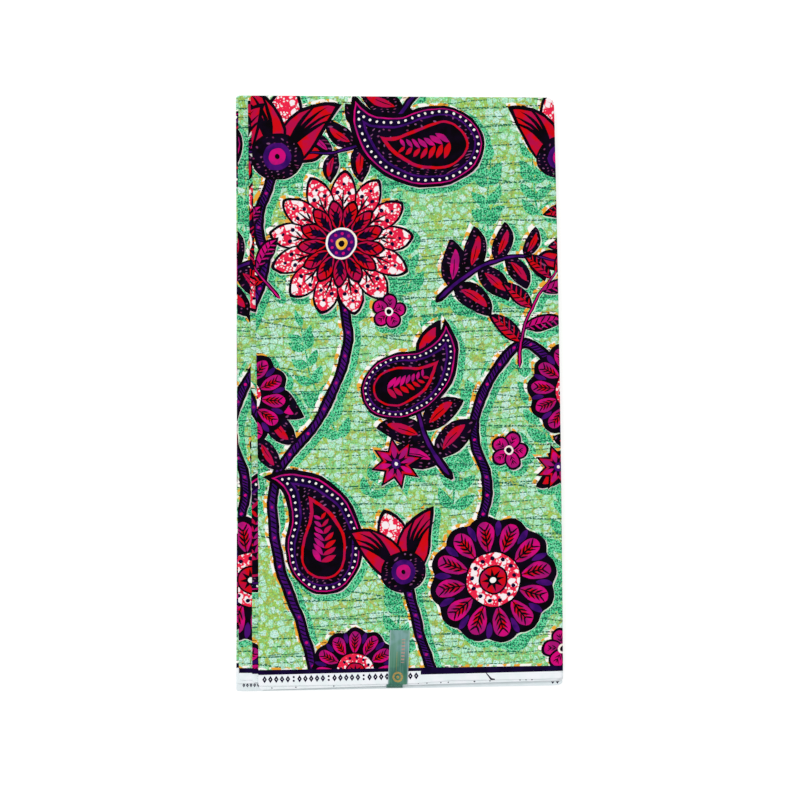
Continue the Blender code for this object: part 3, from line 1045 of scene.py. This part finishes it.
def foil_label():
    path = label_path()
    rows = len(path)
    bpy.ops.mesh.primitive_grid_add(x_subdivisions=8, y_subdivisions=rows - 1, size=2)
    strip = bpy.context.object
    strip.name = "foil_label"
    strip.data.uv_layers[0].name = "strip"
    first_drop = TOP.top - BY_NODE["top_lap_under_layer"].top
    for point in strip.data.vertices:
        across = point.co.x
        y, height = path[round((1 - point.co.y) / 2 * (rows - 1))]
        fallen = min((path[0][1] - height) / first_drop, 1)
        width = LABEL_WIDTH + (END_WIDTH - LABEL_WIDTH) * fallen
        x = across * width / 2 + (y - LABEL_HEAD) * LABEL_SLANT + END_SHIFT * fallen
        lift = float(ripples(TOP, x, y)) * (1 - fallen)
        buckle = 0.10 * math.sin(y / 6.5 + across) + 0.08 * math.sin(x / 2.6 + y / 19)
        point.co = Vector((x, y, height * float(lie(x, y)) + lift + buckle)) * MM
    wall = strip.modifiers.new("wall", "SOLIDIFY")
    wall.thickness, wall.offset = FOIL_WALL * MM, -1
    bpy.ops.object.modifier_apply(modifier="wall")
    bpy.ops.object.shade_smooth_by_angle(angle=math.radians(40))
    strip.select_set(False)
    return strip


label = foil_label()

# %% [markdown]
# ## Materials
#
# Two finishes: the printed cotton and the foil. Colours are written as the eye knows them, in sRGB, and
# turned linear by one function. Another adds a node with its settings and links. Further on, functions
# are named for what they draw on the cloth, and scale it by a real size in millimetres.

# %% Colours and nodes
def linear(colour):
    """#rrggbb as linear red, green, blue and alpha."""
    shares = [int(colour[k:k + 2], 16) / 255 for k in (1, 3, 5)]
    return [s / 12.92 if s <= 0.04045 else ((s + 0.055) / 1.055) ** 2.4 for s in shares] + [1.0]


def feed(tree, node, inputs):
    """Sets inputs, in order, or by name or number. Each is a value, a colour, or the socket that feeds it."""
    for socket, value in inputs.items() if isinstance(inputs, dict) else enumerate(inputs):
        if isinstance(value, bpy.types.NodeSocket):
            tree.links.new(value, node.inputs[socket])
        else:
            node.inputs[socket].default_value = linear(value) if isinstance(value, str) else value


def add(tree, kind, inputs=(), out=0, **settings):
    """Adds a node and gives one of its outputs, or the node itself where out is None."""
    made = tree.nodes.new("ShaderNode" + kind)
    for name, value in settings.items():
        setattr(made, name, value)
    feed(tree, made, inputs)
    return made if out is None else made.outputs[out]


def sized(place, size, **more):
    """A texture's inputs, for cells or clouds of about that many millimetres."""
    return {"Vector": place, "Scale": 1 / (size * MM), **more}


def new_material(name):
    """A material, its node tree and the node of its surface."""
    made = bpy.data.materials.new(name)
    made.use_nodes = True
    return made, made.node_tree, made.node_tree.nodes["Principled BSDF"]


# Settings that several nodes share. Mix takes its share at 0 and its colours at 6 and 7. Map Range takes
# a value, the two ends of its ramp, and what it gives at each of them, which is 0 and 1 if left out.
COLOURS = dict(out=2, data_type="RGBA")
SMOOTH = dict(interpolation_type="SMOOTHSTEP")
CLOUD = dict(noise_dimensions="2D")
CELLS = dict(voronoi_dimensions="2D")

# %% Coats of colour
# A coat comes on as its pattern goes from low to high, up to the share that most gives.
Coat = namedtuple("Coat", "pattern low high colour most", defaults=(1.0,))


def coated(tree, colour, *coats):
    """A colour with coats over it, the first one undermost."""
    for coat in coats:
        share = add(tree, "MapRange", (coat.pattern, coat.low, coat.high, 0.0, coat.most), **SMOOTH)
        colour = add(tree, "Mix", {0: share, 6: colour, 7: coat.colour}, **COLOURS)
    return colour


# %% [markdown]
# **The ground.** The resin cracks and bubbles when the cloth is washed between dyes. Round blobs that
# stayed under the resin are pale mint, lime green runs between them, and olive flecks follow the cracks.
# A dotted dark line runs across the cloth every two centimetres or so, where it was creased, with finer
# and more broken ones between. Noise alone would give clouds, so the blobs are Voronoi cells, each with
# a radius of its own, pushed out of round by a little noise.

# %% The bubbled ground
BUBBLE_RIM = (-0.05, 0.07)


def shaken(tree, place, size, reach):
    """The place, moved about by up to half the reach, so that round things turn uneven."""
    noise = add(tree, "TexNoise", sized(place, size), "Color", **CLOUD)
    centred = add(tree, "VectorMath", (noise, (0.5, 0.5, 0.5)), operation="SUBTRACT")
    return add(tree, "VectorMath", (centred, (2 * reach * MM,) * 3, place), operation="MULTIPLY_ADD")


def bubbles(tree, place, size, smallest, largest):
    """How far inside a round blob a place is, in cells, and a number for each blob."""
    cell = add(tree, "TexVoronoi", sized(place, size), None, **CELLS)
    chance = add(tree, "SeparateColor", (cell.outputs["Color"],), None).outputs
    radius = add(tree, "MapRange", (chance["Red"], 0, 1, smallest, largest), **SMOOTH)
    return add(tree, "Math", (radius, cell.outputs["Distance"]), operation="SUBTRACT"), chance["Green"]


def ground_colour(tree, place):
    uneven = shaken(tree, place, 3.5, 1.7)
    slow = add(tree, "TexNoise", sized(place, 38), **CLOUD)
    quick = add(tree, "TexNoise", sized(place, 7, Detail=3.0), **CLOUD)
    small, small_shade = bubbles(tree, uneven, 4.6, 0.18, 0.52)
    large, large_shade = bubbles(tree, uneven, 8.4, 0.12, 0.56)
    seam = add(tree, "TexVoronoi", sized(uneven, 8.4), **CELLS, feature="DISTANCE_TO_EDGE")
    speck = add(tree, "TexVoronoi", sized(place, 2.4), None, **CELLS)
    chance = add(tree, "SeparateColor", (speck.outputs["Color"],))
    fleck = coated(tree, "#5abb82", Coat(chance, 0.70, 0.72, "#c99f45"))
    colour = coated(
        tree, "#9dcb5f",
        Coat(slow, 0.38, 0.62, "#7fd28a"),
        Coat(quick, 0.50, 0.62, "#b2b256", 0.75),
        Coat(small, *BUBBLE_RIM, add(tree, "Mix", {0: small_shade, 6: "#93dd9d", 7: "#bcebc6"}, **COLOURS)),
        Coat(large, *BUBBLE_RIM, add(tree, "Mix", {0: large_shade, 6: "#c6ebe0", 7: "#a9e4bf"}, **COLOURS)),
        Coat(seam, 0.07, 0.03, "#8aa648", 0.75),
        Coat(speck.outputs["Distance"], 0.26, 0.14, fleck, 0.75),
    )
    fine = add(tree, "TexNoise", sized(place, 1.7, Detail=1.0), **CLOUD)
    grain = add(tree, "MapRange", (fine, 0.32, 0.68, 0.85, 1.17), **SMOOTH)
    return add(tree, "Mix", {0: 1.0, 6: colour, 7: grain}, **COLOURS, blend_type="MULTIPLY")


# %% The crackle
# Each kind of line: its slant in degrees, how far apart and how wide it is, and how much of it is missing.
CrackLine = namedtuple("CrackLine", "turn apart width broken")
CRACK_LINES = (CrackLine(0, 19, 1.1, 0.40), CrackLine(9, 43, 1.1, 0.48), CrackLine(-3, 8.5, 0.75, 0.46))
BAND_SCALE = 0.314  # a Wave texture of this scale has one band a unit


def crackle(tree, place):
    """The dotted dark lines across the cloth, 1 where they are."""
    lines = 0.0
    for turn, apart, width, broken in CRACK_LINES:
        at = add(tree, "Mapping", {"Vector": place, "Rotation": (0, 0, math.radians(turn))})
        wave = add(
            tree, "TexWave",
            {"Vector": at, "Scale": BAND_SCALE / (apart * MM), "Distortion": 1.6, "Detail Scale": 0.6},
            "Fac", bands_direction="Y", wave_profile="TRI",
        )
        line = add(tree, "MapRange", (wave, 1 - 2 * width / apart, 1 - 0.8 * width / apart), **SMOOTH)
        gaps = add(tree, "TexNoise", sized(at, 30 + apart, Detail=1.0), **CLOUD)
        kept = add(tree, "MapRange", (gaps, broken, broken + 0.05), **SMOOTH)
        line = add(tree, "Math", (line, kept), operation="MULTIPLY")
        lines = add(tree, "Math", (line, lines), operation="MAXIMUM")
    spots = add(tree, "TexVoronoi", sized(place, 2.0), **CELLS)
    dots = add(tree, "MapRange", (spots, 0.56, 0.40, 0.15, 1.0), **SMOOTH)
    return add(tree, "Math", (lines, dots), operation="MULTIPLY")


# %% [markdown]
# **Waxed cotton print.** A close, plain-woven cotton with a light resin finish: matt, with hardly any
# shine, and colours that go right into the thread. The dye's number picks two colours, between which
# a slow cloud drifts, because no dye takes evenly. Some dyes have their own breaks: a stipple in the
# green, blots in the slivers, bubbles in the pink, and short dashes in the dark.

# %% The dyes
Dye = namedtuple("Dye", "colour drift")
DYE_COLOURS = {
    "ground": Dye("#8fc85a", "#8fc85a"),
    "jade": Dye("#55d497", "#43c083"),
    "sliver": Dye("#faf6f0", "#eba636"),
    "worn": Dye("#d3e8cd", "#cdbfc4"),
    "ink": Dye("#050207", "#0b0314"),
    "seeded": Dye("#050207", "#0e031c"),
    "navy": Dye("#0b0224", "#140432"),
    "violet": Dye("#30085c", "#4a0c70"),
    "magenta": Dye("#d20878", "#a5126f"),
    "crimson": Dye("#d00712", "#b60b47"),
    "pink": Dye("#ee2449", "#e41f46"),
    "white": Dye("#f6f4f0", "#f6ebdf"),
    "orange": Dye("#f0aa34", "#f4c460"),
    "cotton": Dye("#f2f5f9", "#eaf2f4"),
    # tinted: cotton painted greyer on the foot lap's selvedge, as painted shade
    "tinted": Dye("#e4ecef", "#dfe9eb"),
}


def by_dye(tree, number, colours):
    """A colour for each dye's number."""
    node = add(tree, "ValToRGB", (number,), None)
    node.color_ramp.interpolation = "CONSTANT"
    stops = node.color_ramp.elements
    for place, colour in enumerate(colours):
        stop = stops[place] if place < 2 else stops.new(place / len(DYES))
        stop.position = place / len(DYES)
        stop.color = linear(colour)
    return node.outputs["Color"]


def is_dye(tree, number, dye):
    """1 where the number is that dye's."""
    own = (NUMBER[dye] + 0.5) / len(DYES)
    return add(tree, "Math", (number, own, 0.4 / len(DYES)), operation="COMPARE")


# %% Dyes that break up
def stippled_jade(tree, place, colour):
    """Dark and pale specks, and fine pale veins."""
    dark, pale, vein = (
        add(tree, "TexVoronoi", sized(place, size), **CELLS, feature=feature)
        for size, feature in ((2.1, "F1"), (3.1, "F1"), (15, "DISTANCE_TO_EDGE"))
    )
    return coated(
        tree, colour,
        Coat(dark, 0.42, 0.28, "#0b5c3f", 0.95),
        Coat(pale, 0.22, 0.12, "#a5ecc6", 0.8),
        Coat(vein, 0.035, 0.012, "#96e6b8", 0.6),
    )


def blotted_sliver(tree, place, ground):
    """White and orange blots, with the ground between them."""
    uneven = shaken(tree, place, 2.5, 1.6)
    blot = add(tree, "TexVoronoi", sized(uneven, 4.4), "Color", **CELLS)
    chance = add(tree, "SeparateColor", (blot,), None).outputs
    blots = coated(tree, "#faf6f0", Coat(chance["Red"], 0.56, 0.58, "#eba636"))
    return coated(tree, ground, Coat(chance["Green"], 0.26, 0.30, blots))


def bubbled_pink(tree, place, colour):
    """White blobs, large and small."""
    uneven = shaken(tree, place, 3.5, 1.2)
    large, _ = bubbles(tree, uneven, 7.6, 0.10, 0.52)
    small, _ = bubbles(tree, uneven, 3.2, 0.0, 0.38)
    blob = add(tree, "Math", (large, small), operation="MAXIMUM")
    return coated(tree, colour, Coat(blob, *BUBBLE_RIM, "#f8eef0"))


def seeded_dark(tree, place, colour):
    """Rows of short dashes, bent with the drawing."""
    bent = shaken(tree, place, 60, 22)
    squeezed = add(tree, "Mapping", {"Vector": bent, "Scale": (0.55, 1, 1)})
    seed = add(tree, "TexVoronoi", sized(squeezed, 4.4, Randomness=0.35), None, **CELLS)
    chance = add(tree, "SeparateColor", (seed.outputs["Color"],))
    dash = add(tree, "Mix", {0: chance, 6: "#7a2458", 7: "#8f5a8a"}, **COLOURS)
    return coated(tree, colour, Coat(seed.outputs["Distance"], 0.20, 0.13, dash, 0.9))


# %% The printed and woven cloth
# The threads lie a third of a millimetre apart, too fine to show from here, so the weave is drawn twice
# as coarse, and low.
WEAVE_PITCH, WEAVE_DEPTH = 0.66, 0.08


def waxed_cotton():
    material, tree, surface = new_material("waxed_cotton_print")
    number = add(tree, "Attribute", out="Fac", attribute_name="dye")
    place = add(tree, "UVMap", uv_map="cloth")

    first = by_dye(tree, number, [DYE_COLOURS[dye].colour for dye in DYES])
    second = by_dye(tree, number, [DYE_COLOURS[dye].drift for dye in DYES])
    drift = add(tree, "TexNoise", sized(place, 14), **CLOUD)
    plain = colour = coated(tree, first, Coat(drift, 0.38, 0.62, second))
    ground = ground_colour(tree, place)
    broken = {
        "pink": bubbled_pink(tree, place, plain),
        "seeded": seeded_dark(tree, place, plain),
        "ground": ground,
        "jade": stippled_jade(tree, place, plain),
        "sliver": blotted_sliver(tree, place, ground),
    }
    own = {dye: is_dye(tree, number, dye) for dye in broken}
    for dye, dyed in broken.items():
        colour = add(tree, "Mix", {0: own[dye], 6: colour, 7: dyed}, **COLOURS)
    lines = crackle(tree, place)
    for dye, line_colour in (("ground", "#12604a"), ("jade", "#12604a"), ("sliver", "#0b0a14")):
        cracked = add(tree, "Math", (lines, own[dye]), operation="MULTIPLY")
        colour = add(tree, "Mix", {0: cracked, 6: colour, 7: line_colour}, **COLOURS)

    threads = [
        add(
            tree, "TexWave", {"Vector": place, "Scale": BAND_SCALE / (WEAVE_PITCH * MM), "Distortion": 0.6},
            "Fac", bands_direction=way,
        )
        for way in "XY"
    ]
    weave = add(tree, "Math", threads, operation="ADD")
    shade = add(tree, "MapRange", (weave, 0.0, 2.0, 0.93, 1.04), **SMOOTH)
    colour = add(tree, "Mix", {0: 1.0, 6: colour, 7: shade}, **COLOURS, blend_type="MULTIPLY")
    bump = add(tree, "Bump", {"Height": weave, "Strength": 0.25, "Distance": WEAVE_DEPTH * MM})
    feed(tree, surface, {
        "Base Color": colour, "Normal": bump, "Roughness": 0.7, "Specular IOR Level": 0.03,
    })
    print(material.name, "has", len(tree.nodes), "nodes")
    return material


# %% [markdown]
# ** Satin foil.** Thin plastic film with a metallised back: it is smooth, catches the light broadly, and
# turns from a pale grey teal where it lies over the print to a deeper green towards its end. Along its
# cut edges its colour is painted paler, as a painted highlight. A row of rose dashes, a fine gold line and
# a plain gold ring are stamped on it, worn in places. They could be separate strips, but they have no
# thickness, so they are colour.

# %% Stamps on the foil
# RIM is how far from the strip's middle the painted highlight along its cut edges starts.
RIM, DASHES_AT, LINE_AT, RING_AT, RING_RADIUS = 9.4, 4.0, -2.1, (-2.3, -286.4), 4.3
DASH_PITCH = 3.4


def within(tree, *bounds):
    """1 where every value lies within so many millimetres of its middle."""
    share = 1.0
    for value, middle, reach in bounds:
        near = add(tree, "Math", (value, middle * MM, reach * MM), operation="COMPARE")
        share = add(tree, "Math", (near, share), operation="MULTIPLY")
    return share


def stamped(tree, flat, across, up):
    """The rose dashes, and the gold ring with a fine line above it, 1 where each is."""
    beat = add(tree, "Math", (up, DASH_PITCH / 2 * MM), operation="PINGPONG")
    dashes = within(tree, (across, DASHES_AT, 1.7), (up, -260, 12), (beat, 0, 0.9))
    middle = tuple(value * MM for value in (*RING_AT, 0))
    reach = add(tree, "VectorMath", (flat, middle), "Value", operation="DISTANCE")
    rings = within(tree, (reach, RING_RADIUS, 1.0)), within(tree, (reach, 0, 1.5))
    line = within(tree, (across, LINE_AT, 0.55), (up, -271, 10))
    ring = add(tree, "Math", rings, operation="MAXIMUM")
    faint = add(tree, "Math", (line, 0.3), operation="MULTIPLY")
    return dashes, add(tree, "Math", (ring, faint), operation="MAXIMUM")


# %% Satin foil
def satin_foil():
    material, tree, surface = new_material("satin_foil")
    place = add(tree, "TexCoord", out="Object")
    flat = add(tree, "Mapping", {"Vector": place, "Scale": (1, 1, 0)})
    up = add(tree, "SeparateXYZ", (place,), "Y")
    share = add(tree, "SeparateXYZ", (add(tree, "UVMap", uv_map="strip"),), "X")
    centred = add(tree, "Math", (share, 0.5), operation="SUBTRACT")
    across = add(tree, "Math", (centred, LABEL_WIDTH * MM), operation="MULTIPLY")
    from_middle = add(tree, "Math", (across,), operation="ABSOLUTE")

    blotch = add(tree, "TexNoise", sized(flat, 13, Detail=1.0), **CLOUD)
    stretched = add(tree, "Mapping", {"Vector": place, "Scale": (1.0, 0.06, 1.0)})
    streak = add(tree, "TexNoise", sized(stretched, 1.6))
    colour = coated(
        tree, "#236653",
        Coat(up, -277 * MM, -246 * MM, "#75a09d"),
        Coat(blotch, 0.45, 0.62, "#47855f", 0.50),
        Coat(streak, 0.35, 0.65, "#93bcb4", 0.18),
        # painted highlight: the foil's colour turns paler near its cut edges
        Coat(from_middle, (RIM - 0.5) * MM, (RIM + 0.2) * MM, "#b7c6d0", 0.6),
    )
    fine = add(tree, "TexNoise", sized(flat, 0.9, Detail=1.0), **CLOUD)
    worn = add(tree, "MapRange", (fine, 0.36, 0.56, 0.25, 0.9), **SMOOTH)
    for mask, stamp in zip(stamped(tree, flat, across, up), ("#c08f84", "#c3983f")):
        shown = add(tree, "Math", (mask, worn), operation="MULTIPLY")
        colour = add(tree, "Mix", {0: shown, 6: colour, 7: stamp}, **COLOURS)
    rough = add(tree, "MapRange", (streak, 0.3, 0.7, 0.28, 0.42), **SMOOTH)
    feed(tree, surface, {"Base Color": colour, "Roughness": rough, "Metallic": 0.25})
    print(material.name, "has", len(tree.nodes), "nodes")
    return material


# %% Finishing each piece
cotton = waxed_cotton()
foil = satin_foil()
for piece in [*sheets.values(), block]:
    piece.data.materials.append(cotton)
label.data.materials.append(foil)

# %% [markdown]
# ## Each piece's place in the part
#
# The packet has one body. Each shell stands for the stretch whose place it takes, and is declared as a
# sheet of the size that was cut, measured here on the flat outline.

# %% Ride and replace
for stretch in STRETCHES:
    piece = sheets[stretch.node]
    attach(piece, "root")
    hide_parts(stretch.node)
    outline = flat_outline(stretch, 0.0)

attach(block, "root")
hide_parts("inner_laps")
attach(label, "root")
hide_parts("label")

# %% [markdown]
# ## Floor, light and camera
#
# The packet lies on a plain white floor, seen from straight above, in an even light with one broad lamp
# that is a little to the upper left, so that folds and creases have a soft bright and a soft dark side.

# %% Floor
bpy.ops.mesh.primitive_plane_add(size=40, location=(0, 0, -0.0005))
floor = bpy.context.object
floor.name = "floor"
WHITE = (1, 1, 1, 1)
board, board_tree, board_surface = new_material("lit_white_board")
feed(board_tree, board_surface, {
    "Base Color": "#a8a8a8", "Roughness": 0.9, "Specular IOR Level": 0.0,
    "Emission Color": WHITE, "Emission Strength": 0.75,
})
floor.data.materials.append(board)

# %% Light
world = bpy.data.worlds.new("studio")
bpy.context.scene.world = world
world.use_nodes = True
feed(world.node_tree, world.node_tree.nodes["Background"], {"Color": WHITE, "Strength": 0.70})
bpy.ops.object.light_add(type="SUN", rotation=(math.radians(-24), math.radians(-20), 0))
sun = bpy.context.object
sun.data.energy = 1.15
sun.data.angle = math.radians(22)

# %% Camera
# The photograph is 800 pixels wide, and one of its pixels shows this many millimetres of the packet.
PHOTO = 800
PIXEL = 1.0118
MIDDLE_Y = -6.2
CAMERA_HEIGHT = 2.2
camera_data = bpy.data.cameras.new("camera")
camera = bpy.data.objects.new("camera", camera_data)
bpy.context.scene.collection.objects.link(camera)
camera.location = (0, MIDDLE_Y * MM, CAMERA_HEIGHT + TOP.top * MM)
camera_data.sensor_width = 36
camera_data.lens = 36 * CAMERA_HEIGHT / (PHOTO * PIXEL * MM)
bpy.context.scene.camera = camera
bpy.context.scene.view_settings.view_transform = "Standard"
